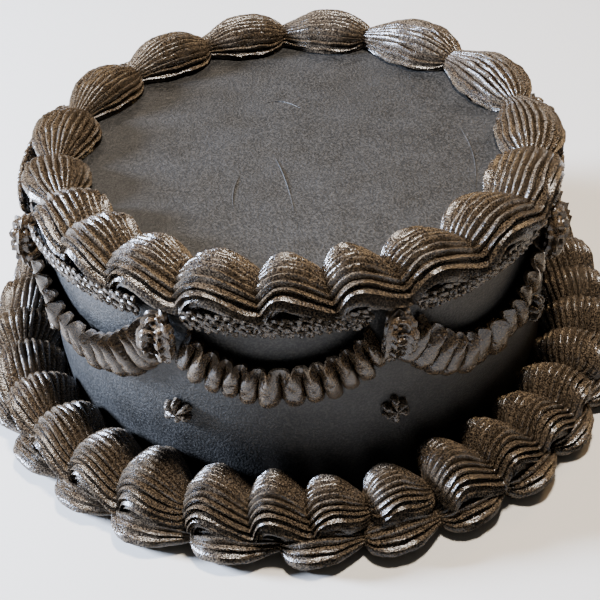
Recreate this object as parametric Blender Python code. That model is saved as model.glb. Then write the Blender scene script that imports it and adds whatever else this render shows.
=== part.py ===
"""A round celebration cake in black buttercream, piped in the over-piped vintage style.

Metres, +Z up. The origin is the middle of the cake's underside. An angle round the cake is in degrees
from the front (-Y) and grows towards +X. Each piece of piping is a node of its own, and pieces that
touch keep a small gap.
"""

import math
import random
from collections import namedtuple

import bmesh
import bpy
from mathutils import Vector

MM = 0.001
FULL_TURN = 2 * math.pi
GAP = 0.3 * MM
MERGE_DISTANCE = 0.001 * MM

# The smooth cake under the piping
WALL_RADIUS = 100 * MM
CAKE_HEIGHT = 94 * MM
CAKE_SIDES = 72
TOP_EDGE_ROUNDING = 5 * MM

# A rope of shells: its centre line between two shells, how the middle of a shell differs, and its ridges
Rope = namedtuple(
    "Rope",
    "radius height lift lean half_width half_height pinch roundness ridges ridge_depth points stations",
)

# Top border: nine upright waves at the front, nine long ovals behind
TOP_WAVE_ANGLES = (-62.5, -50, -35, -18, -2, 10, 26.5, 46, 66.5)
TOP_OVAL_ANGLES = (91, 119, 147, 172, 193.5, 216, 240, 263, 283)
TOP_ROPE = Rope(
    radius=89.6 * MM,
    height=CAKE_HEIGHT + 2.6 * MM,
    lift=2.6 * MM,
    lean=0.5 * MM,
    half_width=12.2 * MM,
    half_height=9.6 * MM,
    pinch=0.62,
    roundness=0.75,
    ridges=8,
    ridge_depth=0.12,
    points=16,
    stations=6,
)
# The hand-piped ring sits a little off the cake's middle
TOP_ROPE_SHIFT = Vector((1.5 * MM, -2.5 * MM, 0))
# The rope may hang over the rounded edge: from this radius its underside drops by this slope, down to the lace
OVERHANG_START = 98.5 * MM
OVERHANG_SLOPE = 0.9
OVERHANG_DROP = 1.2 * MM

# Base border, upper row: leans on the wall and on the lower row
UPPER_FRONT_ANGLES = (-75, -63.5, -52, -41.5, -30, -16.5, -7, 4, 15, 26.5, 36.5, 46, 57, 68)
UPPER_BACK_SHELLS = 20
UPPER_ROPE = Rope(
    radius=115 * MM,
    height=13.5 * MM,
    lift=2 * MM,
    lean=1 * MM,
    half_width=14.2 * MM,
    half_height=13.5 * MM,
    pinch=0.7,
    roundness=0.8,
    ridges=6,
    ridge_depth=0.11,
    points=12,
    stations=4,
)

# Base border, lower row: lies on what the cake stands on
LOWER_FRONT_ANGLES = (-54, -41, -27, -11.5, 3, 16, 29.5, 42.5, 55.5)
LOWER_BACK_SHELLS = 17
LOWER_ROPE = Rope(
    radius=120.5 * MM,
    height=6 * MM,
    lift=0.5 * MM,
    lean=-1.5 * MM,
    half_width=13.2 * MM,
    half_height=9.5 * MM,
    pinch=0.7,
    roundness=0.7,
    ridges=5,
    ridge_depth=0.1,
    points=10,
    stations=4,
)

# The slanted seam between the two base rows, from the floor up and out
SEAM_START = (108 * MM, 0.0)
SEAM_END = (131 * MM, 13.5 * MM)
LOWER_ROW_INNER_RADIUS = 109 * MM

# Eight swags hang between eight evenly spaced rosettes
SWAGS = 8
FIRST_JUNCTION = -27
JUNCTION_SPACING = 360 / SWAGS
ROSETTE_HALF_ANGLE = 5

# Ruffled swag ribbon
SWAG_MIDDLE_HEIGHTS = [63 * MM, 57 * MM, 60 * MM, 61 * MM, 58 * MM, 62 * MM, 60 * MM, 59 * MM]
SWAG_END_HEIGHT = 77 * MM
SWAG_END_ANGLE = 5.2
SWAG_FOLDS = 14
SWAG_HALF_WIDTH = 8 * MM
SWAG_SAG_POWER = 2.2
SWAG_TILT_SHARE = 0.5
FOLD_DEPTH = 2.4 * MM
# The ribbon's section: distance out from the wall, share of the half width up, and share of the fold
SWAG_SECTION = (
    (0 * MM, 0.55, 0.0),
    (4.2 * MM, 1.0, 1.0),
    (5.6 * MM, 0.0, 1.0),
    (4.2 * MM, -0.85, 0.8),
    (0 * MM, -1.0, 0.0),
)

# Lace trim under the top border
LACE_SCALLOPS = 12
LACE_TOP = 92.5 * MM
LACE_WIDTH = 5.5 * MM
LACE_DROOP = 1.5 * MM
LACE_THICKNESS = 2.6 * MM
LACE_SCALLOP_DEPTH = 0.9 * MM

# Rosette drawn down over each junction
ROSETTE_BOTTOM = 69 * MM
ROSETTE_TOP = CAKE_HEIGHT - OVERHANG_DROP - GAP
ROSETTE_HALF_WIDTH = 7.4 * MM
ROSETTE_DEPTH = 10.5 * MM
ROSETTE_RIDGES = 5
ROSETTE_RIDGE_DEPTH = 0.14
ROSETTE_POINTS = 10
ROSETTE_STATIONS = 5

# Small drop star under each junction
STAR_HEIGHT = 44 * MM
STAR_RADIUS = 5 * MM
STAR_DEPTH = 7.5 * MM
STAR_ARMS = 6
STAR_ARM_SHARE = 0.24
# Share of the radius and share of the depth, from the middle of the back to the tip
STAR_PROFILE = ((0.0, 0.0), (1.0, 0.0), (0.72, 0.5), (0.0, 1.0))

UNEVENNESS = 0.07
SEED = 11

SMOOTH_ICING = ((0.022, 0.020, 0.018, 1), 0.6)
PIPED_ICING = ((0.028, 0.024, 0.020, 1), 0.42)


def clear_scene():
    for old in list(bpy.data.objects):
        bpy.data.objects.remove(old, do_unlink=True)


def buttercream(name, colour_and_roughness):
    colour, roughness = colour_and_roughness
    material = bpy.data.materials.new(name)
    material.use_nodes = True
    shader = material.node_tree.nodes["Principled BSDF"]
    shader.inputs["Base Color"].default_value = colour
    shader.inputs["Roughness"].default_value = roughness
    shader.inputs["Metallic"].default_value = 0.0
    material.diffuse_color = colour
    return material


def add_node(name, shape, material):
    bmesh.ops.recalc_face_normals(shape, faces=shape.faces)
    mesh = bpy.data.meshes.new(name)
    shape.to_mesh(mesh)
    shape.free()
    mesh.materials.append(material)
    mesh.shade_smooth()
    mesh.set_sharp_from_angle(angle=math.radians(50))
    node = bpy.data.objects.new(name, mesh)
    bpy.context.scene.collection.objects.link(node)
    return node


def around_cake(angle, radius, height):
    """The point at this angle in degrees, this far from the cake's axis and this high."""
    turn = math.radians(angle)
    return Vector((radius * math.sin(turn), -radius * math.cos(turn), height))


def pipe(stations, points, place):
    """A grid bent into a piece of piping. place gives the point for two shares: along it and around it."""
    shape = bmesh.new()
    bmesh.ops.create_grid(shape, x_segments=stations, y_segments=points, size=0.5)
    for vert in shape.verts:
        along = round((vert.co.x + 0.5) * stations) / stations
        around = round((vert.co.y + 0.5) * points) / points
        vert.co = place(along, around % 1)
    bmesh.ops.remove_doubles(shape, verts=shape.verts, dist=MERGE_DISTANCE)
    bmesh.ops.dissolve_degenerate(shape, edges=shape.edges, dist=MERGE_DISTANCE)
    open_edges = [edge for edge in shape.edges if edge.is_boundary]
    bmesh.ops.holes_fill(shape, edges=open_edges, sides=0)
    bmesh.ops.triangulate(shape, faces=shape.faces)
    return shape


def shell_spans(middles):
    """The start and end angle of each shell, half way to its neighbours' middles."""
    spans = []
    for index, middle in enumerate(middles):
        before = middles[index - 1] - (360 if index == 0 else 0)
        after = middles[(index + 1) % len(middles)] + (360 if index == len(middles) - 1 else 0)
        spans.append(((before + middle) / 2, (middle + after) / 2))
    return spans


def row_spans(front, back_count, chance):
    """A row's shells: the front ones by their middles, then nearly even ones round the back."""
    pitch = (360 + front[0] - front[-1]) / (back_count + 1)
    strays = [chance.uniform(-UNEVENNESS, UNEVENNESS) for _ in range(back_count)]
    back = [front[-1] + pitch * (index + 1 + stray) for index, stray in enumerate(strays)]
    return shell_spans(list(front) + back)


def rope_of_shells(rope, spans, chance, keep_clear):
    """A closed ring of shells. keep_clear moves a point off the pieces beside it."""
    sizes = [1 + chance.uniform(-UNEVENNESS, UNEVENNESS) for _ in spans]

    def place(along, around):
        whole, phase = divmod(along * len(spans), 1)
        index = int(whole) % len(spans)
        start, end = spans[index]
        swell = math.sin(math.pi * phase) ** rope.roundness
        size = rope.pinch + (sizes[index] - rope.pinch) * swell
        size *= 1 + rope.ridge_depth * math.cos(rope.ridges * FULL_TURN * around)
        out = rope.half_width * size * math.cos(FULL_TURN * around)
        up = rope.half_height * size * math.sin(FULL_TURN * around)
        radius = rope.radius - rope.lean * swell + out
        height = rope.height + rope.lift * swell + up
        return keep_clear(start + (end - start) * phase, radius, height)

    return pipe(rope.stations * len(spans), rope.points, place)


def above_top(angle, radius, height):
    point = around_cake(angle, radius, height) + TOP_ROPE_SHIFT
    hang = (math.hypot(point.x, point.y) - OVERHANG_START) * OVERHANG_SLOPE
    underside = CAKE_HEIGHT + GAP - min(max(hang, 0.0), OVERHANG_DROP)
    point.z = max(point.z, underside)
    return point


def seam_side(radius, height):
    """How far a point lies above the seam between the base rows, and the seam's normal."""
    run = SEAM_END[0] - SEAM_START[0]
    rise = SEAM_END[1] - SEAM_START[1]
    length = math.hypot(run, rise)
    normal = (-rise / length, run / length)
    above = (radius - SEAM_START[0]) * normal[0] + (height - SEAM_START[1]) * normal[1]
    return above, normal


def above_seam(angle, radius, height):
    above, normal = seam_side(radius, height)
    push = max(0.0, GAP - above)
    radius += push * normal[0]
    height += push * normal[1]
    return around_cake(angle, max(radius, WALL_RADIUS + GAP), max(height, GAP))


def below_seam(angle, radius, height):
    above, normal = seam_side(radius, height)
    push = max(0.0, above + GAP)
    radius -= push * normal[0]
    height -= push * normal[1]
    return around_cake(angle, max(radius, LOWER_ROW_INNER_RADIUS), max(height, 0.0))


def cake_body():
    shape = bmesh.new()
    bmesh.ops.create_cone(
        shape,
        cap_ends=True,
        segments=CAKE_SIDES,
        radius1=WALL_RADIUS,
        radius2=WALL_RADIUS,
        depth=CAKE_HEIGHT,
    )
    bmesh.ops.translate(shape, verts=shape.verts, vec=(0, 0, CAKE_HEIGHT / 2))
    top_edges = [edge for edge in shape.edges if min(v.co.z for v in edge.verts) > CAKE_HEIGHT / 2]
    bmesh.ops.bevel(
        shape,
        geom=top_edges,
        offset=TOP_EDGE_ROUNDING,
        offset_type="OFFSET",
        affect="EDGES",
        segments=1,
        profile=0.5,
        material=-1,
    )
    return shape


def swag(start, end, middle_height):
    """A ruffled ribbon that hangs against the wall between two angles."""
    arc = math.radians(end - start) * WALL_RADIUS
    drop = SWAG_END_HEIGHT - middle_height

    def place(along, around):
        out, up_share, fold_share = SWAG_SECTION[round(around * len(SWAG_SECTION))]
        across = 2 * along - 1
        height = middle_height + drop * abs(across) ** SWAG_SAG_POWER
        rise = drop * SWAG_SAG_POWER * abs(across) ** (SWAG_SAG_POWER - 1) * 2 / arc
        tilt = SWAG_TILT_SHARE * math.atan(math.copysign(rise, across))
        fold = math.cos(FULL_TURN * SWAG_FOLDS * along) * FOLD_DEPTH * fold_share
        up = up_share * SWAG_HALF_WIDTH
        angle = start + (end - start) * along - math.degrees(up * math.sin(tilt) / WALL_RADIUS)
        return around_cake(angle, WALL_RADIUS + GAP + out - fold, height + up * math.cos(tilt))

    return pipe(2 * SWAG_FOLDS, len(SWAG_SECTION), place)


def lace_bay(start, end):
    """A thin scalloped trim along the wall's top edge, between two rosettes."""

    def place(along, around):
        corner = round(around * 4)
        scallop = math.cos(FULL_TURN * LACE_SCALLOPS * along) * LACE_SCALLOP_DEPTH
        top = LACE_TOP - LACE_DROOP * math.sin(math.pi * along)
        out = LACE_THICKNESS - scallop if corner in (1, 2) else 0.0
        height = top - (LACE_WIDTH + scallop if corner in (2, 3) else 0.0)
        return around_cake(start + (end - start) * along, WALL_RADIUS + GAP + out, height)

    return pipe(2 * LACE_SCALLOPS, 4, place)


def rosette(angle, chance):
    """A ridged star of icing drawn down the wall over the ends of two swags."""
    lean = chance.uniform(-1, 1) * MM

    def place(along, around):
        turn = FULL_TURN * around
        size = math.sin(math.pi * along) ** 0.6 if 0 < along < 1 else 0.0
        size *= 1 + ROSETTE_RIDGE_DEPTH * math.cos(ROSETTE_RIDGES * turn)
        side = ROSETTE_HALF_WIDTH * size * math.cos(turn) + lean * (1 - along)
        out = ROSETTE_DEPTH * size * max(0.0, math.sin(turn)) * (0.75 + 0.25 * along)
        height = ROSETTE_BOTTOM + (ROSETTE_TOP - ROSETTE_BOTTOM) * along
        radius = WALL_RADIUS + 2 * GAP + out
        return around_cake(angle + math.degrees(side / WALL_RADIUS), radius, height)

    return pipe(ROSETTE_STATIONS, ROSETTE_POINTS, place)


def drop_star(angle):
    """A small six-armed star, pulled to a point away from the wall."""

    def place(along, around):
        turn = FULL_TURN * around
        size, depth = STAR_PROFILE[round(along * (len(STAR_PROFILE) - 1))]
        reach = STAR_RADIUS * size * (1 + STAR_ARM_SHARE * math.cos(STAR_ARMS * turn))
        side = math.degrees(reach * math.sin(turn) / WALL_RADIUS)
        radius = WALL_RADIUS + GAP + STAR_DEPTH * depth
        return around_cake(angle + side, radius, STAR_HEIGHT + reach * math.cos(turn))

    return pipe(len(STAR_PROFILE) - 1, 2 * STAR_ARMS, place)


def main():
    clear_scene()
    chance = random.Random(SEED)
    smooth = buttercream("smoothed_black_buttercream", SMOOTH_ICING)
    piped = buttercream("piped_black_buttercream", PIPED_ICING)

    add_node("cake_body", cake_body(), smooth)
    top_spans = shell_spans(TOP_WAVE_ANGLES + TOP_OVAL_ANGLES)
    add_node("top_shell_border", rope_of_shells(TOP_ROPE, top_spans, chance, above_top), piped)
    upper_spans = row_spans(UPPER_FRONT_ANGLES, UPPER_BACK_SHELLS, chance)
    add_node("base_border_upper", rope_of_shells(UPPER_ROPE, upper_spans, chance, above_seam), piped)
    lower_spans = row_spans(LOWER_FRONT_ANGLES, LOWER_BACK_SHELLS, chance)
    add_node("base_border_lower", rope_of_shells(LOWER_ROPE, lower_spans, chance, below_seam), piped)

    for index, middle_height in enumerate(SWAG_MIDDLE_HEIGHTS):
        junction = FIRST_JUNCTION + JUNCTION_SPACING * index
        after = junction + JUNCTION_SPACING
        number = index + 1
        ribbon = swag(junction + SWAG_END_ANGLE, after - SWAG_END_ANGLE, middle_height)
        add_node(f"ruffle_swag_{number}", ribbon, piped)
        lace = lace_bay(junction + ROSETTE_HALF_ANGLE, after - ROSETTE_HALF_ANGLE)
        add_node(f"lace_trim_{number}", lace, piped)
        add_node(f"swag_rosette_{number}", rosette(junction, chance), piped)
        add_node(f"drop_star_{number}", drop_star(junction), piped)


main()
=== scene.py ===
"""The looks of a round celebration cake in black buttercream, piped in the over-piped vintage style.

Metres, +Z up. An angle round the cake is in degrees from the front (-Y) and grows towards +X.
"""

import math
import random
from collections import namedtuple

import bmesh
import bpy
from mathutils import Matrix, Vector, noise


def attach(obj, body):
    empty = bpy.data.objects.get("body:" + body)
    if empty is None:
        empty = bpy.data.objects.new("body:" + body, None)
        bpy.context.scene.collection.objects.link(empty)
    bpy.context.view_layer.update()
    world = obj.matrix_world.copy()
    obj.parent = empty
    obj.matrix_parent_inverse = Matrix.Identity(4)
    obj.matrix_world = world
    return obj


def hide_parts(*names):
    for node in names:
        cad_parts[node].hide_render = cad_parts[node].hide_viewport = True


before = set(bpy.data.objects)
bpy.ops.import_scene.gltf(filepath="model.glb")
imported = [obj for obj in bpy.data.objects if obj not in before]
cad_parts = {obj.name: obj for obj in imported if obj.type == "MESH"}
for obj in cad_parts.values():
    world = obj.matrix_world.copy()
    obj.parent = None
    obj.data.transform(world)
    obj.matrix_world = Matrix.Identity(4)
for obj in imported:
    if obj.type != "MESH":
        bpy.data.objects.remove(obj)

MM = 0.001
FULL_TURN = 2 * math.pi
BODY = "root"
SMOOTH_SLOT = "smooth_buttercream"
PIPED_SLOT = "piped_buttercream"
MERGE_DISTANCE = 0.001 * MM
SKIN = 0.1 * MM  # Icing that rests on icing stands this clear of it
SHARP_CREST = math.radians(55)

# Camera
CAMERA_ELEVATION = 40.02
CAMERA_DISTANCE = 561.1 * MM
CAMERA_AIM = Vector((-0.55 * MM, 0, 6.78 * MM))
CAMERA_ROLL = -3.8
CAMERA_LENS = 78
SENSOR_WIDTH = 36
PICTURE_SIDE = 600
PICTURE_CENTRE = (299.3, 322.5)  # Where the lens axis meets the picture, in pixels

# Studio: a floor of pale paper, an even sky and four lamps
FLOOR_HALF_SIZE = 3
PAPER_COLOUR = "b9b5ad"
PAPER_ROUGHNESS = 0.7
SKY_COLOUR = "dcdad6"
SKY_STRENGTH = 0.12
Lamp = namedtuple("Lamp", "name place aim size power colour")
LAMPS = (
    Lamp("window", place=(-1.1, 0.08, 0.45), aim=(0, 0, 0.07), size=0.3, power=165, colour="cfe0ff"),
    Lamp("skylight", place=(-0.25, 0.95, 0.85), aim=(0, 0, 0.08), size=0.4, power=3, colour="ffeeda"),
    Lamp("warm_lamp", place=(0.75, 0.6, 0.7), aim=(0, 0, 0.08), size=0.3, power=4, colour="ffd49a"),
    Lamp("overhead", place=(0.1, -0.06, 1.2), aim=(0, 0, 0.08), size=0.15, power=36, colour="fff4e8"),
)

# A finish of black buttercream. dark and light: the colours of the icing and of the sugar in it, as
# sRGB hex. grain: the sugar's size in millimetres, drawn coarser than real icing sugar, which is too
# fine to show. pits: the spacing of the air bubbles in millimetres. grain_bump and pit_bump: how
# strongly they stand out.
Icing = namedtuple("Icing", "name dark light roughness grain grain_bump pits pit_bump")

# Smoothed with a scraper, so dull and even
SCRAPED_ICING = Icing(
    name="scraped_black_buttercream",
    dark="030302",
    light="2c2a27",
    roughness=0.53,
    grain=0.8,
    grain_bump=1.0,
    pits=9,
    pit_bump=0.15,
)

# Pressed through a star tip, so its lips are torn and glint
STAR_PIPED_ICING = Icing(
    name="star_piped_black_buttercream",
    dark="17120d",
    light="5d5040",
    roughness=0.23,
    grain=0.6,
    grain_bump=0.6,
    pits=2.4,
    pit_bump=0.35,
)

# Pressed through a petal tip, so its faces are smoother, with air bubbles
PETAL_PIPED_ICING = Icing(
    name="petal_piped_black_buttercream",
    dark="211912",
    light="554735",
    roughness=0.24,
    grain=0.6,
    grain_bump=0.35,
    pits=3.2,
    pit_bump=0.6,
)

BUTTERCREAM_IOR = 1.46
DULL_PATCH = 14  # Millimetres across
GLOSS_BELOW = 0.07  # How much less rough the glossiest patches are
DULL_ABOVE = 0.09  # How much rougher the dullest patches are
PATCH_START = 0.3
PATCH_FULL = 0.7
SPECKLE_START = 0.42  # The part of the sugar's pattern over which the colour turns from dark to light
SPECKLE_FULL = 0.68
PIT_FLOOR = 0.05
PIT_RIM = 0.3
RELIEF_DEPTH = 0.3 * MM

# The smooth cake under the piping
WALL_RADIUS = 100 * MM
CAKE_HEIGHT = 94 * MM
TOP_EDGE_ROUNDING = 5 * MM
COAT_SEGMENTS = 256
COAT_STEP = 3 * MM
COAT_WAVE = 0.35 * MM  # How uneven the scraper left it, over long and short stretches
COAT_LONG_WAVE = 34 * MM
COAT_SHORT_WAVE = 11 * MM
COAT_SHORT_DEPTH = COAT_WAVE / 5

# A rope piped through a star tip. radius and height: where its middle runs. low_wave and top_wave: how
# far the ridges near its lower and upper edge rise and fall for each shell of a wave; arch: the same
# for an oval; the rise is in a plane that leans in by tilt degrees. low_lead and top_lead: below 1,
# those ridges crest early in their shell. low_crest and top_crest: below 1, their crests are broad and
# their valleys sharp. lean: how far the shells lean back, in degrees; curl: how far a wave's crests
# roll back over the valley before them, as a share of the rise. face, side and low_side: half sizes
# outwards, upwards and downwards. wave_pinch and oval_pinch: the share of the size left between shells.
# roundness: below 1 is blunter.
Rope = namedtuple(
    "Rope",
    "radius height low_wave top_wave arch tilt low_lead top_lead low_crest top_crest lean curl face side"
    " low_side wave_pinch oval_pinch roundness ridges ridge_depth",
)

# A row of shells: where each starts and ends, 1 for a wave or 0 for an oval, its size, and which shells
# were piped in one go, as first and last
Row = namedtuple("Row", "spans kinds sizes runs")

# A run's first shell starts early with a round head, and its last one ends late in a thin tail. All are
# shares of a shell's length.
HEAD_OVERLAP = 0.14
HEAD_LENGTH = 0.36
OVAL_HEAD_LENGTH = 0.5
TAIL_OVERLAP = 0.16
TAIL_LENGTH = 0.6
TAIL_FULLNESS = 0.6

# The rope on the top edge, which was piped a little off the cake's middle: waves in front, ovals behind
TOP_WAVE_ANGLES = (-62.5, -50, -35, -18, -2, 10, 26.5, 46, 66.5)
TOP_WAVE_SIZES = (1.0, 1.02, 1.02, 1.0, 0.96, 1.07, 1.0, 1.05, 1.0)
TOP_OVAL_ANGLES = (91, 119, 147, 172, 193.5, 216, 240, 263, 283)
TOP_ROPE_SHIFT = Vector((1.5 * MM, -2.5 * MM, 0))
TOP_ROPE = Rope(
    radius=90 * MM,
    height=CAKE_HEIGHT + 3.6 * MM,
    low_wave=4.3 * MM,
    top_wave=3.0 * MM,
    arch=0.6 * MM,
    tilt=8,
    low_lead=0.64,
    top_lead=0.95,
    low_crest=2.2,
    top_crest=0.85,
    lean=12,
    curl=0.6,
    face=12.4 * MM,
    side=7 * MM,
    low_side=9.8 * MM,
    wave_pinch=0.86,
    oval_pinch=0.6,
    roundness=0.6,
    ridges=22,
    ridge_depth=1.4 * MM,
)
TOP_RUNS = ((0, 8), (9, 9), (10, 10), (11, 11), (12, 12), (13, 13), (14, 14), (15, 15), (16, 16), (17, 17))
TOP_STATIONS = 42

# Past the start the rope's underside hangs below the top, this steeply and this far at most
OVERHANG_START = 98.5 * MM
OVERHANG_SLOPE = 0.9
OVERHANG_DROP = 2 * MM

# The upper rope at the foot of the wall
UPPER_FRONT_ANGLES = (-75, -63.5, -52, -41.5, -30, -16.5, -7, 4, 15, 26.5, 36.5, 46, 57, 68)
UPPER_FRONT_SIZES = (1.0, 1.0, 1.0, 0.97, 1.08, 0.98, 0.97, 0.86, 0.88, 1.04, 1.0, 0.98, 1.0, 1.02)
UPPER_FRONT_KINDS = (1.0, 1.0, 1.0, 1.0, 1.0, 1.0, 1.0, 0.5, 0.6, 0.9, 0.9, 0.9, 0.9, 0.8)
UPPER_BACK_SHELLS = 20
UPPER_BACK_KINDS = (1.0, 0.9, 0.7)
UPPER_ROPE = Rope(
    radius=115 * MM,
    height=14.5 * MM,
    low_wave=5 * MM,
    top_wave=3.6 * MM,
    arch=1.6 * MM,
    tilt=14,
    low_lead=0.66,
    top_lead=0.9,
    low_crest=1.9,
    top_crest=0.85,
    lean=12,
    curl=0.6,
    face=13.4 * MM,
    side=10.4 * MM,
    low_side=10.4 * MM,
    wave_pinch=0.8,
    oval_pinch=0.55,
    roundness=0.7,
    ridges=27,
    ridge_depth=1.4 * MM,
)
UPPER_RUNS = ((0, 1), (2, 4), (5, 7), (8, 8), (9, 12), (13, 17), (18, 22), (23, 27), (28, 33))
UPPER_STATIONS = 20

# The lower row at the foot of the wall, each shell piped alone
LOWER_FRONT_ANGLES = (-54, -41, -27, -11.5, 3, 16, 29.5, 42.5, 55.5)
LOWER_BACK_SHELLS = 17
LOWER_ROPE = Rope(
    radius=121.5 * MM,
    height=6 * MM,
    low_wave=1.5 * MM,
    top_wave=1.5 * MM,
    arch=0.8 * MM,
    tilt=10,
    low_lead=0.8,
    top_lead=0.8,
    low_crest=1.0,
    top_crest=1.0,
    lean=0,
    curl=0.0,
    face=12.6 * MM,
    side=7.8 * MM,
    low_side=7.8 * MM,
    wave_pinch=0.7,
    oval_pinch=0.4,
    roundness=0.6,
    ridges=20,
    ridge_depth=1.4 * MM,
)
LOWER_STATIONS = 27

# Ridges of a star tip
POINTS_PER_RIDGE = 5
CROWDING = 0.1  # Draws the stations towards the joints, where the ridges turn
CAP_RIDGE_SHARE = 0.85  # The ridges on a shell's top are this share of the others' depth, and rounded
CAP_FADE = 1.5
CAP_CURL_SHARE = 0.3  # A shell's top rolls back by this share of what its foot does
GROOVE_PLACE = 0.6  # A groove lies this share of the way up from one ridge's lip to the next
LIP_SHARPNESS = 1.15
GROOVE_SHARPNESS = 0.7
RIDGE_STRETCH = 8 * MM  # Each ridge's depth and place change along stretches of about this length
DEPTH_CHANGE = 0.4
PLACE_CHANGE = 0.012
ROPE_LUMP = 5 * MM
ROPE_LUMP_DEPTH = 0.5 * MM
TEAR_LENGTH = 1.1 * MM
TEAR_DEPTH = 0.12 * MM  # How torn the icing is all over
LIP_TEAR_DEPTH = 0.14 * MM  # How much more it is torn on its lips, and then between its shells
JOINT_TEAR_DEPTH = 0.35 * MM

# Fine ridges that the scraper left on the top: where each starts, turns and ends, in millimetres
TOP_MARKS = (
    ((-6.2, -4.0), (-1.0, -22.0), (0.2, -43.0)),
    ((-18.6, -15.0), (-23.0, -27.0), (-21.4, -39.0)),
    ((-8.6, 35.7), (-1.0, 39.0), (5.4, 29.9)),
    ((65.0, 13.5), (73.0, -10.0), (66.0, -37.5)),
)
MARK_STATIONS = 40
MARK_RADIUS = 0.25 * MM
MARK_DEPTH = 0.1 * MM
MARK_POINTS = 6
MARK_TIP = 0.03
MARK_WAVE = 0.2 * MM
MARK_WAVE_LENGTH = 9 * MM

# Swags: ruffled ribbons that hang between the junctions
FIRST_JUNCTION = -27
JUNCTION_SPACING = 45
SWAG_MIDDLE_HEIGHTS = [63 * MM, 57 * MM, 60 * MM, 61 * MM, 58 * MM, 62 * MM, 60 * MM, 59 * MM]
SWAG_END_HEIGHT = 77 * MM
SWAG_END_ANGLE = 3
SWAG_FOLDS = 12
SWAG_HALF_WIDTH = 8 * MM
SWAG_SAG_POWER = 2.2  # Above 2, the ribbon's middle hangs flatter than an arc
SWAG_TILT_SHARE = 0.6
STATIONS_PER_FOLD = 24
RIBBON_FACE_POINTS = 13
RIBBON_BACK_POINTS = 7
RIBBON_EDGE = 1.1 * MM
RIBBON_SIDE = 0.14  # How much narrower the hollow behind a fold is, as a share of the fold's depth
FOLD_STRENGTHS = (-0.2, 0.16)  # How much shallower or deeper a fold may be
FOLD_SHIFT = 0.8  # How far up or down a fold may sit, in millimetres
FOLD_STRAY = 0.22  # How far a fold may lean to one side, as a share of its width
LOBE_ROUNDNESS = 2.2
RIBBON_END_DEPTH = 0.35  # At its ends a ribbon keeps this share of its depth, and this share of its width
RIBBON_END_WIDTH = 0.8
RIBBON_END_SLOPE = 14
EDGE_CURVE = 1.5  # Above 1, only the ribbon's upper edge waves
BOTTOM_ROUNDING = 0.6  # The part of the ribbon's lower half that turns in to the wall
HOLLOW_START = -0.2  # Above this height, which goes from -1 to 1, a fold is hollow behind
RIBBON_LUMP = 2.6 * MM
RIBBON_LUMP_DEPTH = 0.45 * MM
RIBBON_GRAIN = 1.1 * MM
RIBBON_GRAIN_DEPTH = 0.1 * MM
# Distance from the wall in a groove and on a lobe, at the ribbon's bottom, middle and top
GROOVE_OUT = (0.8 * MM, 1.0 * MM, 3.6 * MM)
LOBE_OUT = (5.0 * MM, 6.4 * MM, 8.0 * MM)
FOLD_OVERHANG = 0.9 * MM  # How far a fold leans over the next, the other way on its upper edge
LOWER_OVERHANG = 0.7
EDGE_OVERHANG = -1.1
RIM_RISE = 1.0 * MM
LOBE_DROP = 3.0 * MM  # How far a lobe's lower end hangs below its sides
LOBE_DROP_MIDDLE = 0.8
MIDDLE_FOLD_SHARE = 1.2  # Above 1, the folds in a ribbon's middle are the wider ones

# Rosettes at the junctions, piped downwards with a small star tip that swings from side to side. Each
# has its own swing, number of swings and drift to one side, within these limits.
ROSETTE_HALF_ANGLE = 5
ROSETTE_TOP = 91 * MM
ROSETTE_BOTTOM = 72 * MM
ROSETTE_SWING = 3.0 * MM
ROSETTE_SWING_SHARES = (0.85, 1.1)
ROSETTE_SWINGS = 4.8
ROSETTE_SWINGS_CHANGE = 0.3
ROSETTE_DRIFT = 1.2  # Millimetres
ROSETTE_WIDEST = (0.12, 0.8)  # Where the rosette starts and ends on a half wave of width
ROSETTE_WIDTH_CURVE = 0.8
ROSETTE_ROPE_RADIUS = 2.9 * MM
ROSETTE_STATIONS = 200
ROSETTE_RIDGES = 6
ROSETTE_POINTS_PER_RIDGE = 6
ROSETTE_RIDGE_SHARE = 0.28  # The ridges' depth as a share of the rope's radius
ROSETTE_TAPER = 0.5
ROSETTE_BOB = 0.4 * MM
ROSETTE_STAND_OFF = 3.4 * MM
ROSETTE_BULGE = 2.8 * MM
ROSETTE_LOOP_DEPTH = 1.0 * MM
THREAD_LUMP_SHARE = 1.2  # A thread's lumps and their depth, as shares of its radius
THREAD_LUMP_DEPTH_SHARE = 0.4

# Small stars below the junctions
STAR_HEIGHT = 44 * MM
STAR_RADIUS = 6.4 * MM
STAR_DEPTH = 3.4 * MM
STAR_ARMS = 6
STAR_STATIONS = 14
STAR_POINTS_PER_ARM = 10
STAR_FOOT = 0.2  # This share of a star's stations spreads over the wall, and the rest comes forward
STAR_VALLEY = 0.4  # How far the star reaches between two petals, as a share of its radius
STAR_TWIST = 0.3  # The most that a star's tip turns, as an angle in radians
STAR_SAG = (0.3, 1.2)  # How far a star's tip sags, in millimetres
STAR_PETALS = (0.75, 1.05)
STAR_LUMP = 1.4 * MM
STAR_LUMP_DEPTH = 0.4 * MM

# Lace: three rows of loops under the top rope. Each row's drop, half height and distance from the wall
LACE_TOP = 92.5 * MM
LACE_DROOP = 0.8 * MM
LACE_PITCH = 3.1 * MM
LACE_THREAD = 0.85 * MM
LACE_STATIONS_PER_LOOP = 10
LACE_POINTS = 6
LACE_UNEVENNESS = 0.9
LACE_WANDER = 0.5 * MM
LACE_LOOP_DEPTH = 0.5 * MM
LACE_LOOP_TURN = 0.8
LACE_ROWS = (
    (-0.4 * MM, 1.0 * MM, 3.2 * MM),
    (2.1 * MM, 1.3 * MM, 3.2 * MM),
    (5.3 * MM, 1.2 * MM, 2.3 * MM),
)

UNEVENNESS = 0.07  # How far the sizes and places of the shells that aren't seen stray
SEED = 11


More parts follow.
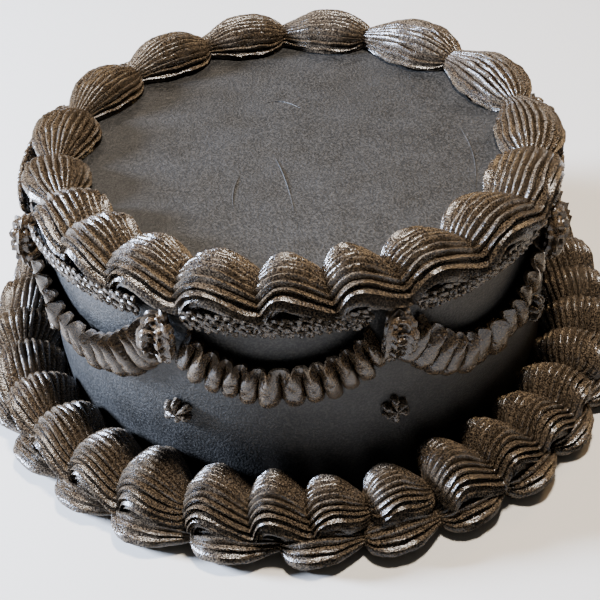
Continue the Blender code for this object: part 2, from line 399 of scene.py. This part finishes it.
def linear(hex_colour):
    """An sRGB colour such as "3a342e" as linear red, green, blue and alpha."""
    shares = [int(hex_colour[place:place + 2], 16) / 255 for place in (0, 2, 4)]
    return (*[s / 12.92 if s <= 0.04045 else ((s + 0.055) / 1.055) ** 2.4 for s in shares], 1.0)


def add(tree, kind, inputs, **settings):
    """A shader node with its settings. An input that is given an output is linked to it."""
    node = tree.nodes.new(kind)
    for name, value in settings.items():
        setattr(node, name, value)
    for name, value in inputs.items():
        if isinstance(value, bpy.types.NodeSocket):
            tree.links.new(value, node.inputs[name])
        else:
            node.inputs[name].default_value = value
    return node


def per_metre(millimetres):
    """The texture scale whose pattern repeats about every so many millimetres."""
    return 1 / (millimetres * MM)


def buttercream(icing):
    """Crusted buttercream, fat and sugar dyed black: the sugar gives the sparkle, air bubbles the pits."""
    material = bpy.data.materials.new(icing.name)
    material.use_nodes = True
    tree = material.node_tree
    shader = tree.nodes["Principled BSDF"]
    place = add(tree, "ShaderNodeTexCoord", {}).outputs["Object"]
    patches = add(
        tree,
        "ShaderNodeTexNoise",
        {"Vector": place, "Scale": per_metre(DULL_PATCH), "Detail": 4.0},
    )
    sugar = add(
        tree,
        "ShaderNodeTexNoise",
        {"Vector": place, "Scale": per_metre(icing.grain), "Detail": 2.0},
    )
    bubbles = add(tree, "ShaderNodeTexVoronoi", {"Vector": place, "Scale": per_metre(icing.pits)})
    speckle = add(
        tree,
        "ShaderNodeMapRange",
        {"Value": sugar.outputs["Fac"], "From Min": SPECKLE_START, "From Max": SPECKLE_FULL},
    )
    colour = add(
        tree,
        "ShaderNodeMixRGB",
        {"Fac": speckle.outputs["Result"], "Color1": linear(icing.dark), "Color2": linear(icing.light)},
    )
    gloss = add(
        tree,
        "ShaderNodeMapRange",
        {
            "Value": patches.outputs["Fac"],
            "From Min": PATCH_START,
            "From Max": PATCH_FULL,
            "To Min": icing.roughness - GLOSS_BELOW,
            "To Max": icing.roughness + DULL_ABOVE,
        },
    )
    grain_relief = add(
        tree,
        "ShaderNodeBump",
        {"Height": sugar.outputs["Fac"], "Strength": icing.grain_bump, "Distance": RELIEF_DEPTH},
    )
    hollow = add(
        tree,
        "ShaderNodeMapRange",
        {"Value": bubbles.outputs["Distance"], "From Min": PIT_FLOOR, "From Max": PIT_RIM},
    )
    pit_relief = add(
        tree,
        "ShaderNodeBump",
        {
            "Height": hollow.outputs["Result"],
            "Strength": icing.pit_bump,
            "Distance": RELIEF_DEPTH,
            "Normal": grain_relief.outputs["Normal"],
        },
    )
    tree.links.new(colour.outputs["Color"], shader.inputs["Base Color"])
    tree.links.new(gloss.outputs["Result"], shader.inputs["Roughness"])
    tree.links.new(pit_relief.outputs["Normal"], shader.inputs["Normal"])
    shader.inputs["IOR"].default_value = BUTTERCREAM_IOR
    return material


def around_cake(angle, radius, height):
    """The point at this angle in degrees, this far from the cake's axis and this high."""
    turn = math.radians(angle)
    return Vector((radius * math.sin(turn), -radius * math.cos(turn), height))


def rough(point, size, depth):
    """How far the icing stands out at this point, for lumps of this size."""
    return noise.noise(point / size) * depth


def pipe(stations, points, place):
    """A grid bent into a piece of piping. place gives the point for a station and a step round it."""
    shape = bmesh.new()
    bmesh.ops.create_grid(shape, x_segments=stations, y_segments=points, size=0.5)
    for vert in shape.verts:
        station = round((vert.co.x + 0.5) * stations)
        step = round((vert.co.y + 0.5) * points) % points
        vert.co = place(station, step)
    bmesh.ops.remove_doubles(shape, verts=shape.verts, dist=MERGE_DISTANCE)
    bmesh.ops.dissolve_degenerate(shape, edges=shape.edges, dist=MERGE_DISTANCE)
    open_edges = [edge for edge in shape.edges if edge.is_boundary]
    bmesh.ops.holes_fill(shape, edges=open_edges, sides=0)
    return shape


def finish_piece(name, shapes, material, slot, *nodes):
    """One object from these shapes, which stands for the nodes."""
    mesh = bpy.data.meshes.new(name)
    whole = bmesh.new()
    for shape in shapes:
        bmesh.ops.recalc_face_normals(shape, faces=shape.faces)
        part = bpy.data.meshes.new("part")
        shape.to_mesh(part)
        shape.free()
        whole.from_mesh(part)
        bpy.data.meshes.remove(part)
    whole.to_mesh(mesh)
    whole.free()
    mesh.materials.append(material)
    mesh.shade_smooth()
    mesh.set_sharp_from_angle(angle=SHARP_CREST)
    piece = bpy.data.objects.new(name, mesh)
    bpy.context.scene.collection.objects.link(piece)
    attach(piece, BODY)
    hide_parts(*nodes)
    return piece


def shell_spans(middles):
    """The start and end angle of each shell, half way to its neighbours' middles."""
    spans = []
    for index, middle in enumerate(middles):
        before = middles[index - 1] - (360 if index == 0 else 0)
        after = middles[(index + 1) % len(middles)] + (360 if index == len(middles) - 1 else 0)
        spans.append(((before + middle) / 2, (middle + after) / 2))
    return spans


def row_spans(front, back_count, chance):
    """A row's shells: the front ones by their middles, then nearly even ones round the back."""
    pitch = (360 + front[0] - front[-1]) / (back_count + 1)
    strays = [chance.uniform(-UNEVENNESS, UNEVENNESS) for _ in range(back_count)]
    back = [front[-1] + pitch * (index + 1 + stray) for index, stray in enumerate(strays)]
    return shell_spans(list(front) + back)


def uneven_sizes(count, chance):
    """Sizes of shells that differ a little from 1."""
    return [1 + chance.uniform(-UNEVENNESS, UNEVENNESS) for _ in range(count)]


def mix(start, end, share):
    """The value this share of the way from start to end."""
    return start + (end - start) * share


def rope_stations(row, run, stations):
    """For each station of a run: its angle, how far it is through its shell, that shell's kind and size,
    and the share of the size that is left near the run's ends."""
    first, last = run
    start = first - HEAD_OVERLAP
    end = last + 1 + TAIL_OVERLAP
    total = round((end - start) * stations)
    count = len(row.spans)
    found = []
    for station in range(total + 1):
        along = mix(start, end, station / total)
        index = min(max(math.floor(along), first), last)
        turns, shell = divmod(index, count)
        phase = along - index - CROWDING * row.kinds[shell] * math.sin(FULL_TURN * along)
        inside = min(max(phase, 0.0), 1.0)
        neighbour = min(max(index + (1 if phase > 0.5 else -1), first), last)
        edge = abs(2 * inside - 1) ** 2 / 2
        kind = mix(row.kinds[shell], row.kinds[neighbour % count], edge)
        size = mix(row.sizes[shell], row.sizes[neighbour % count], edge)
        angle = mix(*row.spans[shell], phase) + 360 * turns
        head = min(1.0, (along - start) / mix(OVAL_HEAD_LENGTH, HEAD_LENGTH, kind))
        tail = min(1.0, (end - along) / TAIL_LENGTH)
        left = math.sqrt(1 - (1 - head) ** 2) * tail ** TAIL_FULLNESS
        found.append((angle, inside, kind, size, left))
    return found


def ridge_profile(turns, ridges):
    """From 1 on a sharp lip to -1 in the groove above it, which runs under the next lip."""
    place = turns * ridges % 1
    if place < GROOVE_PLACE:
        return 1 - 2 * (place / GROOVE_PLACE) ** LIP_SHARPNESS
    return 1 - 2 * (1 - place) / (1 - GROOVE_PLACE)


def round_ridge(turns, ridges):
    """The same for a rounded ridge between sharp grooves, from 1 to -1."""
    from_groove = (turns * ridges - GROOVE_PLACE) % 1
    return 2 * math.sin(math.pi * from_groove) ** GROOVE_SHARPNESS - 1


def star_run(rope, row, run, stations, keep_clear):
    """Shells piped in one go through a star tip. keep_clear moves a point off what it rests on."""
    frames = rope_stations(row, run, stations)
    points = rope.ridges * POINTS_PER_RIDGE
    tilt = math.radians(rope.tilt)
    back = math.tan(math.radians(rope.lean))

    def place(station, step):
        angle, phase, kind, size, left = frames[station]
        turns = step / points
        ridge = round(turns * rope.ridges) % rope.ridges
        # Each ridge reads a part of the noise that is its own
        spot = around_cake(angle, rope.radius, 0) / RIDGE_STRETCH
        uneven = 1 + DEPTH_CHANGE * noise.noise(Vector((ridge * 3.7, spot.x, spot.y)))
        turn = FULL_TURN * (turns + PLACE_CHANGE * noise.noise(Vector((ridge * 1.9, spot.y, spot.x))))
        side = rope.side if math.sin(turn) > 0 else rope.low_side
        turn += (rope.face - side) / (2 * (rope.face + side)) * math.sin(2 * turn)
        upper = (math.sin(turn) + 1) / 2
        crest = math.sin(math.pi * phase ** mix(rope.low_lead, rope.top_lead, upper))
        wave = 2 * max(crest, 0.0) ** mix(rope.low_crest, rope.top_crest, upper) - 1
        lift = mix(rope.arch, mix(rope.low_wave, rope.top_wave, upper), kind) * size * wave * left
        fullness = max(0.0, math.sin(math.pi * phase)) ** rope.roundness
        wave_swell = mix(rope.wave_pinch, size, fullness)
        oval_swell = mix(size, rope.oval_pinch, phase ** 2)
        swell = mix(oval_swell, wave_swell, kind) * left
        cap = max(0.0, math.sin(turn)) ** CAP_FADE
        profile = mix(ridge_profile(turns, rope.ridges), round_ridge(turns, rope.ridges), cap)
        depth = rope.ridge_depth * mix(1.0, CAP_RIDGE_SHARE, cap) * min(swell, 1.0)
        ridge_out = depth * uneven * profile
        normal = Vector((math.cos(turn) / rope.face, math.sin(turn) / side)).normalized() * ridge_out
        out = rope.face * swell * math.cos(turn) + normal.x
        up = side * swell * math.sin(turn) + normal.y
        roll = back * (rope.side - up) - rope.curl * mix(1.0, CAP_CURL_SHARE, upper) * lift
        angle += math.degrees(kind * roll / rope.radius)
        radius = rope.radius - lift * math.sin(tilt)
        centre = around_cake(angle, radius, rope.height + lift * math.cos(tilt))
        along_out = around_cake(angle, math.cos(tilt), math.sin(tilt))
        along_up = around_cake(angle, -math.sin(tilt), math.cos(tilt))
        point = centre + along_out * out + along_up * up
        if swell > 0:
            torn = TEAR_DEPTH + LIP_TEAR_DEPTH * max(profile, 0.0) + JOINT_TEAR_DEPTH * (1 - fullness) ** 4
            lump = rough(point, ROPE_LUMP, ROPE_LUMP_DEPTH) + rough(point, TEAR_LENGTH, torn)
            point += (point - centre).normalized() * lump * min(swell, 1.0)
        return keep_clear(point)

    return pipe(len(frames) - 1, points, place)


def star_rope(rope, row, stations, keep_clear):
    """All the runs of a row of shells."""
    return [star_run(rope, row, run, stations, keep_clear) for run in row.runs]


def above_top(point):
    """The point of the top rope, moved with the rope and kept clear of the top and its edge."""
    point = point + TOP_ROPE_SHIFT
    hang = (math.hypot(point.x, point.y) - OVERHANG_START) * OVERHANG_SLOPE
    underside = CAKE_HEIGHT + SKIN - min(max(hang, 0.0), OVERHANG_DROP)
    point.z = max(point.z, underside)
    return point


def no_nearer(point, radius):
    """The point, moved out to this distance from the cake's axis if it is nearer."""
    found = math.hypot(point.x, point.y)
    if found < radius:
        point.x *= radius / found
        point.y *= radius / found
    return point


def beside_wall(point):
    """The point, kept clear of the wall and above the floor."""
    point = no_nearer(point, WALL_RADIUS + SKIN)
    point.z = max(point.z, 0.0)
    return point


def cake_coat():
    """The smoothed coat: a profile from the top's middle to the underside's middle, spun round."""
    flat = WALL_RADIUS - TOP_EDGE_ROUNDING
    shoulder = CAKE_HEIGHT - TOP_EDGE_ROUNDING
    corners = [(0, CAKE_HEIGHT), (flat, CAKE_HEIGHT), (WALL_RADIUS, shoulder), (WALL_RADIUS, 0), (0, 0)]
    shape = bmesh.new()
    verts = [shape.verts.new((0, 0, CAKE_HEIGHT))]
    for start, end in zip(corners, corners[1:]):
        steps = max(1, round(math.dist(start, end) / COAT_STEP))
        for step in range(1, steps + 1):
            share = step / steps
            verts.append(shape.verts.new((mix(start[0], end[0], share), 0, mix(start[1], end[1], share))))
    edges = [shape.edges.new(pair) for pair in zip(verts, verts[1:])]
    bmesh.ops.spin(
        shape,
        geom=verts + edges,
        cent=(0, 0, 0),
        axis=(0, 0, 1),
        angle=FULL_TURN,
        steps=COAT_SEGMENTS,
        use_merge=True,
    )
    bmesh.ops.remove_doubles(shape, verts=shape.verts, dist=MERGE_DISTANCE)
    for vert in shape.verts:
        if vert.co.z < MM:
            continue
        swell = rough(vert.co, COAT_LONG_WAVE, COAT_WAVE)
        swell += rough(vert.co, COAT_SHORT_WAVE, COAT_SHORT_DEPTH)
        if vert.co.z > shoulder:
            vert.co.z += swell - COAT_WAVE / 2
        else:
            vert.co.xy *= 1 + (swell - COAT_WAVE / 2) / WALL_RADIUS
    return shape


def scrape_mark(start, bend, end):
    """A fine ridge of icing, half sunk in the top."""
    start, bend, end = [Vector(point) * MM for point in (start, bend, end)]

    def place(station, step):
        along = station / MARK_STATIONS
        centre = start.lerp(bend, along).lerp(bend.lerp(end, along), along)
        travel = bend.lerp(end, along) - start.lerp(bend, along)
        across = Vector((-travel.y, travel.x)).normalized()
        turn = FULL_TURN * step / MARK_POINTS
        size = MARK_RADIUS * math.sin(math.pi * mix(MARK_TIP, 1 - MARK_TIP, along))
        spot = centre + across * size * math.cos(turn)
        height = CAKE_HEIGHT - MARK_DEPTH + rough(centre.to_3d(), MARK_WAVE_LENGTH, MARK_WAVE)
        return Vector((spot.x, spot.y, height + size * math.sin(turn)))

    return pipe(MARK_STATIONS, MARK_POINTS, place)


def ribbon_heights():
    """The steps round a ribbon's section: height from -1 to 1, and whether it is on the back."""
    face = [(1 - 2 * step / RIBBON_FACE_POINTS, False) for step in range(RIBBON_FACE_POINTS + 1)]
    back = [(-1 + 2 * step / RIBBON_BACK_POINTS, True) for step in range(1, RIBBON_BACK_POINTS + 1)]
    return face + back


def by_height(values, height):
    """Between the values at a ribbon's bottom, middle and top."""
    bottom, middle, top = values
    return mix(middle, top, height) if height > 0 else mix(middle, bottom, -height)


def ruffle(start, end, middle_height, chance):
    """A ribbon piped through a petal tip in tight folds: rounded lobes, and a thin waving edge on top."""
    arc = math.radians(end - start) * WALL_RADIUS
    drop = SWAG_END_HEIGHT - middle_height
    section = ribbon_heights()
    strengths = [1 + chance.uniform(*FOLD_STRENGTHS) for _ in range(SWAG_FOLDS + 1)]
    shifts = [chance.uniform(-FOLD_SHIFT, FOLD_SHIFT) * MM for _ in range(SWAG_FOLDS + 1)]
    strays = [chance.uniform(-FOLD_STRAY, FOLD_STRAY) for _ in range(SWAG_FOLDS + 1)]
    stations = SWAG_FOLDS * STATIONS_PER_FOLD

    def place(station, step):
        height, on_back = section[step]
        along = station / stations
        across = 2 * along - 1
        folds = SWAG_FOLDS * (1 + math.copysign(abs(across) ** MIDDLE_FOLD_SHARE, across)) / 2
        stray = strays[int(folds)] * math.sin(math.pi * (folds % 1)) ** 2 / 2
        folds = min(folds + stray, SWAG_FOLDS)
        fold = int(folds)
        rim = max(height, 0.0) ** EDGE_CURVE
        body = max(0.0, 1 - abs(2 * (folds - fold) - 1) ** LOBE_ROUNDNESS) ** 0.5
        lobe = mix(body, math.sin(math.pi * (folds - fold)) ** 2, rim)
        if on_back:
            lobe = max(0.0, lobe - RIBBON_SIDE)
        ends = min(1.0, RIBBON_END_SLOPE * min(along, 1 - along) + RIBBON_END_DEPTH)
        line = middle_height + drop * abs(across) ** SWAG_SAG_POWER
        rise = drop * SWAG_SAG_POWER * abs(across) ** (SWAG_SAG_POWER - 1) * 2 / arc
        tilt = SWAG_TILT_SHARE * math.atan(math.copysign(rise, across))
        lobe_out = by_height(LOBE_OUT, height) * strengths[fold]
        out = mix(by_height(GROOVE_OUT, height), lobe_out, lobe) * ends
        if height < BOTTOM_ROUNDING - 1:
            into_bottom = (BOTTOM_ROUNDING - 1 - height) / BOTTOM_ROUNDING
            out *= math.sqrt(max(0.0, 1 - into_bottom ** 2))
        if on_back:
            lift = min(max((height - HOLLOW_START) / (1 + HOLLOW_START), 0.0), 1.0)
            out = (out - RIBBON_EDGE) * lift
        up = height * SWAG_HALF_WIDTH * mix(RIBBON_END_WIDTH, 1.0, ends)
        up += shifts[fold] * lobe + RIM_RISE * (1 - lobe) * rim
        up -= LOBE_DROP * (LOBE_DROP_MIDDLE - (2 * (folds - fold) - 1) ** 2) * (1 - height) / 2
        lean = mix(LOWER_OVERHANG, EDGE_OVERHANG, rim)
        overhang = FOLD_OVERHANG * math.sin(FULL_TURN * (folds - 0.5)) * lean
        angle = mix(start, end, along) + math.degrees((overhang - up * math.sin(tilt)) / WALL_RADIUS)
        point = around_cake(angle, WALL_RADIUS + SKIN + max(out, 0.0), line + up * math.cos(tilt))
        lump = rough(point, RIBBON_LUMP, RIBBON_LUMP_DEPTH)
        lump += rough(point, RIBBON_GRAIN, RIBBON_GRAIN_DEPTH)
        return no_nearer(point + around_cake(angle, lump, 0), WALL_RADIUS + SKIN)

    return pipe(stations, len(section), place)


def thread(line, radius, stations, points, ridges=0, ridge_depth=0.0, taper=0.0):
    """A thin piece of piping along a line, which gives a point for a share of its length. ridge_depth is a
    share of the radius, and so is taper, by which it narrows to its ends."""
    nearby = 0.5 / stations
    frames = []
    for station in range(stations + 1):
        along = station / stations
        travel = (line(min(1, along + nearby)) - line(max(0, along - nearby))).normalized()
        centre = line(along)
        outward = Vector((centre.x, centre.y, 0)).normalized()
        side = travel.cross(outward).normalized()
        frames.append((centre, side.cross(travel).normalized(), side))

    def place(station, step):
        centre, facing, side = frames[station]
        along = station / stations
        turns = step / points
        size = radius * (1 - taper * abs(2 * along - 1) ** 3)
        if ridges:
            size *= 1 + ridge_depth * ridge_profile(turns, ridges)
        turn = FULL_TURN * turns
        point = centre + facing * (size * math.cos(turn)) + side * (size * math.sin(turn))
        lump = rough(point, THREAD_LUMP_SHARE * radius, THREAD_LUMP_DEPTH_SHARE * radius)
        point += (point - centre).normalized() * lump
        return no_nearer(point, WALL_RADIUS + SKIN)

    return pipe(stations, points, place)


def rosette(angle, chance):
    """Icing swung from side to side as the star tip is drawn down the wall, crumpled where it piles up."""
    swing = ROSETTE_SWING * chance.uniform(*ROSETTE_SWING_SHARES)
    turned = chance.choice((-1, 1))
    swings = ROSETTE_SWINGS + chance.uniform(-ROSETTE_SWINGS_CHANGE, ROSETTE_SWINGS_CHANGE)
    drift = chance.uniform(-ROSETTE_DRIFT, ROSETTE_DRIFT) * MM

    def line(along):
        narrow = math.sin(math.pi * mix(*ROSETTE_WIDEST, along)) ** ROSETTE_WIDTH_CURVE
        side = turned * swing * narrow * math.sin(FULL_TURN * swings * along) + drift * along
        height = mix(ROSETTE_TOP, ROSETTE_BOTTOM, along)
        height += ROSETTE_BOB * math.sin(2 * FULL_TURN * swings * along)
        out = ROSETTE_STAND_OFF + ROSETTE_BULGE * math.sin(math.pi * along)
        out -= ROSETTE_LOOP_DEPTH * math.cos(2 * FULL_TURN * swings * along)
        return around_cake(angle + math.degrees(side / WALL_RADIUS), WALL_RADIUS + out, height)

    return thread(
        line,
        ROSETTE_ROPE_RADIUS,
        ROSETTE_STATIONS,
        ROSETTE_RIDGES * ROSETTE_POINTS_PER_RIDGE,
        ridges=ROSETTE_RIDGES,
        ridge_depth=ROSETTE_RIDGE_SHARE,
        taper=ROSETTE_TAPER,
    )


def drop_star(angle, chance):
    """A small star: thick petals round a middle that was pulled to a short point."""
    points = STAR_POINTS_PER_ARM * STAR_ARMS
    twist = chance.uniform(-STAR_TWIST, STAR_TWIST)
    sag = chance.uniform(*STAR_SAG) * MM
    petals = [chance.uniform(*STAR_PETALS) for _ in range(STAR_ARMS)]

    def place(station, step):
        share = station / STAR_STATIONS
        turns = step / points
        petal = petals[round(turns * STAR_ARMS) % STAR_ARMS]
        arm = abs(math.cos(math.pi * STAR_ARMS * turns)) ** 0.7
        forward = max(0.0, (share - STAR_FOOT) / (1 - STAR_FOOT))
        size = min(share / STAR_FOOT, 1.0) * (1 - forward ** 1.8) ** 0.7
        reach = STAR_RADIUS * size * mix(STAR_VALLEY, petal, arm * (1 - 0.3 * forward))
        turn = FULL_TURN * turns + twist * forward
        depth = STAR_DEPTH * mix(0.7 * forward, math.sin(math.pi * min(0.6, 0.9 * forward)), arm)
        side = math.degrees(reach * math.sin(turn) / WALL_RADIUS)
        height = STAR_HEIGHT + reach * math.cos(turn) - sag * forward ** 2
        point = around_cake(angle + side, WALL_RADIUS + SKIN + depth, height)
        lump = rough(point, STAR_LUMP, STAR_LUMP_DEPTH)
        return no_nearer(point + around_cake(angle + side, lump, lump), WALL_RADIUS + SKIN)

    return pipe(STAR_STATIONS, points, place)


def lace_bay(start, end):
    """Three rows of the finest piping, each a string of small uneven loops, along the wall's top edge."""
    arc = math.radians(end - start) * WALL_RADIUS
    loops = round(arc / LACE_PITCH)
    shapes = []
    for row, (drop, half_height, stand_off) in enumerate(LACE_ROWS):
        def line(along, row=row, drop=drop, half_height=half_height, stand_off=stand_off):
            turns = loops * along + row / 2
            uneven = 1 + LACE_UNEVENNESS * noise.noise(Vector((turns * 0.8, row * 9, start)))
            loop = half_height * uneven
            top = LACE_TOP - LACE_DROOP * math.sin(math.pi * along) - drop
            top += LACE_WANDER * noise.noise(Vector((turns * 0.5, row * 5, start)))
            height = top + loop * math.cos(FULL_TURN * turns)
            out = stand_off + LACE_LOOP_DEPTH * math.sin(FULL_TURN * turns + LACE_LOOP_TURN)
            side = math.degrees(loop * math.sin(FULL_TURN * turns) / WALL_RADIUS)
            return around_cake(mix(start, end, along) + side, WALL_RADIUS + out, height)

        shapes.append(thread(line, LACE_THREAD, LACE_STATIONS_PER_LOOP * loops, LACE_POINTS))
    return shapes


def add_camera():
    """The camera at the photo's viewing angle, which is turned a little and cropped off its axis."""
    elevation = math.radians(CAMERA_ELEVATION)
    roll = math.radians(CAMERA_ROLL)
    place = CAMERA_DISTANCE * Vector((0, -math.cos(elevation), math.sin(elevation)))
    forward = (CAMERA_AIM - place).normalized()
    level = forward.cross(Vector((0, 0, 1))).normalized()
    upright = level.cross(forward)
    right = level * math.cos(roll) + upright * math.sin(roll)
    up = upright * math.cos(roll) - level * math.sin(roll)
    lens = bpy.data.cameras.new("camera")
    lens.lens = CAMERA_LENS
    lens.sensor_width = SENSOR_WIDTH
    lens.shift_x = (PICTURE_SIDE / 2 - PICTURE_CENTRE[0]) / PICTURE_SIDE
    lens.shift_y = (PICTURE_CENTRE[1] - PICTURE_SIDE / 2) / PICTURE_SIDE
    camera = bpy.data.objects.new("camera", lens)
    camera.matrix_world = Matrix.Translation(place) @ Matrix((right, up, -forward)).transposed().to_4x4()
    bpy.context.scene.collection.objects.link(camera)
    bpy.context.scene.camera = camera


def add_light(lamp):
    """A round soft light, turned to its aim."""
    source = bpy.data.lights.new(lamp.name, "AREA")
    source.shape = "DISK"
    source.size = lamp.size
    source.energy = lamp.power
    source.color = linear(lamp.colour)[:3]
    light = bpy.data.objects.new(lamp.name, source)
    light.location = lamp.place
    light.rotation_mode = "QUATERNION"
    light.rotation_quaternion = (Vector(lamp.aim) - Vector(lamp.place)).to_track_quat("-Z", "Y")
    bpy.context.scene.collection.objects.link(light)


def add_studio():
    """The paper floor, the sky and the lamps."""
    shape = bmesh.new()
    bmesh.ops.create_grid(shape, x_segments=1, y_segments=1, size=FLOOR_HALF_SIZE)
    mesh = bpy.data.meshes.new("floor")
    shape.to_mesh(mesh)
    shape.free()
    floor = bpy.data.objects.new("floor", mesh)
    paper = bpy.data.materials.new("pale_studio_paper")
    paper.use_nodes = True
    shader = paper.node_tree.nodes["Principled BSDF"]
    shader.inputs["Base Color"].default_value = linear(PAPER_COLOUR)
    shader.inputs["Roughness"].default_value = PAPER_ROUGHNESS
    mesh.materials.append(paper)
    bpy.context.scene.collection.objects.link(floor)
    world = bpy.data.worlds.new("studio")
    world.use_nodes = True
    sky = world.node_tree.nodes["Background"]
    sky.inputs["Color"].default_value = linear(SKY_COLOUR)
    sky.inputs["Strength"].default_value = SKY_STRENGTH
    bpy.context.scene.world = world
    for lamp in LAMPS:
        add_light(lamp)


def add_cake(scraped):
    """The smooth coat with the scraper's marks on its top."""
    marks = [scrape_mark(*mark) for mark in TOP_MARKS]
    finish_piece("cake_coat", [cake_coat()] + marks, scraped, SMOOTH_SLOT, "cake_body")


def add_top_border(piped, chance):
    """The rope of shells on the top edge."""
    spans = shell_spans(TOP_WAVE_ANGLES + TOP_OVAL_ANGLES)
    kinds = [1.0] * len(TOP_WAVE_ANGLES) + [0.0] * len(TOP_OVAL_ANGLES)
    sizes = list(TOP_WAVE_SIZES) + uneven_sizes(len(TOP_OVAL_ANGLES), chance)
    border = star_rope(TOP_ROPE, Row(spans, kinds, sizes, TOP_RUNS), TOP_STATIONS, above_top)
    finish_piece("top_border_shells", border, piped, PIPED_SLOT, "top_shell_border")


def add_base_borders(piped, chance, fine_chance):
    """The upper rope and the lower row of shells at the foot of the wall."""
    spans = row_spans(UPPER_FRONT_ANGLES, UPPER_BACK_SHELLS, chance)
    back_kinds = [fine_chance.choice(UPPER_BACK_KINDS) for _ in range(UPPER_BACK_SHELLS)]
    sizes = list(UPPER_FRONT_SIZES) + uneven_sizes(UPPER_BACK_SHELLS, chance)
    row = Row(spans, list(UPPER_FRONT_KINDS) + back_kinds, sizes, UPPER_RUNS)
    shells = star_rope(UPPER_ROPE, row, UPPER_STATIONS, beside_wall)
    finish_piece("base_upper_shells", shells, piped, PIPED_SLOT, "base_border_upper")

    spans = row_spans(LOWER_FRONT_ANGLES, LOWER_BACK_SHELLS, chance)
    count = len(spans)
    runs = [(shell, shell) for shell in range(count)]
    row = Row(spans, [0.0] * count, uneven_sizes(count, chance), runs)
    shells = star_rope(LOWER_ROPE, row, LOWER_STATIONS, beside_wall)
    finish_piece("base_lower_shells", shells, piped, PIPED_SLOT, "base_border_lower")


def add_wall_piping(piped, petal, fine_chance):
    """The ribbon and the lace from each junction to the next, and each junction's rosette and star."""
    for index, middle_height in enumerate(SWAG_MIDDLE_HEIGHTS):
        junction = FIRST_JUNCTION + JUNCTION_SPACING * index
        after = junction + JUNCTION_SPACING
        number = index + 1
        ribbon = ruffle(junction + SWAG_END_ANGLE, after - SWAG_END_ANGLE, middle_height, fine_chance)
        finish_piece(f"ruffle_ribbon_{number}", [ribbon], petal, PIPED_SLOT, f"ruffle_swag_{number}")
        lace = lace_bay(junction + ROSETTE_HALF_ANGLE, after - ROSETTE_HALF_ANGLE)
        finish_piece(f"lace_zigzag_{number}", lace, piped, PIPED_SLOT, f"lace_trim_{number}")
        swirl = rosette(junction, fine_chance)
        finish_piece(f"rosette_swirl_{number}", [swirl], petal, PIPED_SLOT, f"swag_rosette_{number}")
        star = drop_star(junction, fine_chance)
        finish_piece(f"star_drop_{number}", [star], piped, PIPED_SLOT, f"drop_star_{number}")


def main():
    """The camera, the studio and the dressed cake."""
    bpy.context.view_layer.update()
    add_camera()
    add_studio()
    chance = random.Random(SEED)
    fine_chance = random.Random(SEED + 1)
    scraped = buttercream(SCRAPED_ICING)
    piped = buttercream(STAR_PIPED_ICING)
    petal = buttercream(PETAL_PIPED_ICING)
    add_cake(scraped)
    add_top_border(piped, chance)
    add_base_borders(piped, chance, fine_chance)
    add_wall_piping(piped, petal, fine_chance)


main()
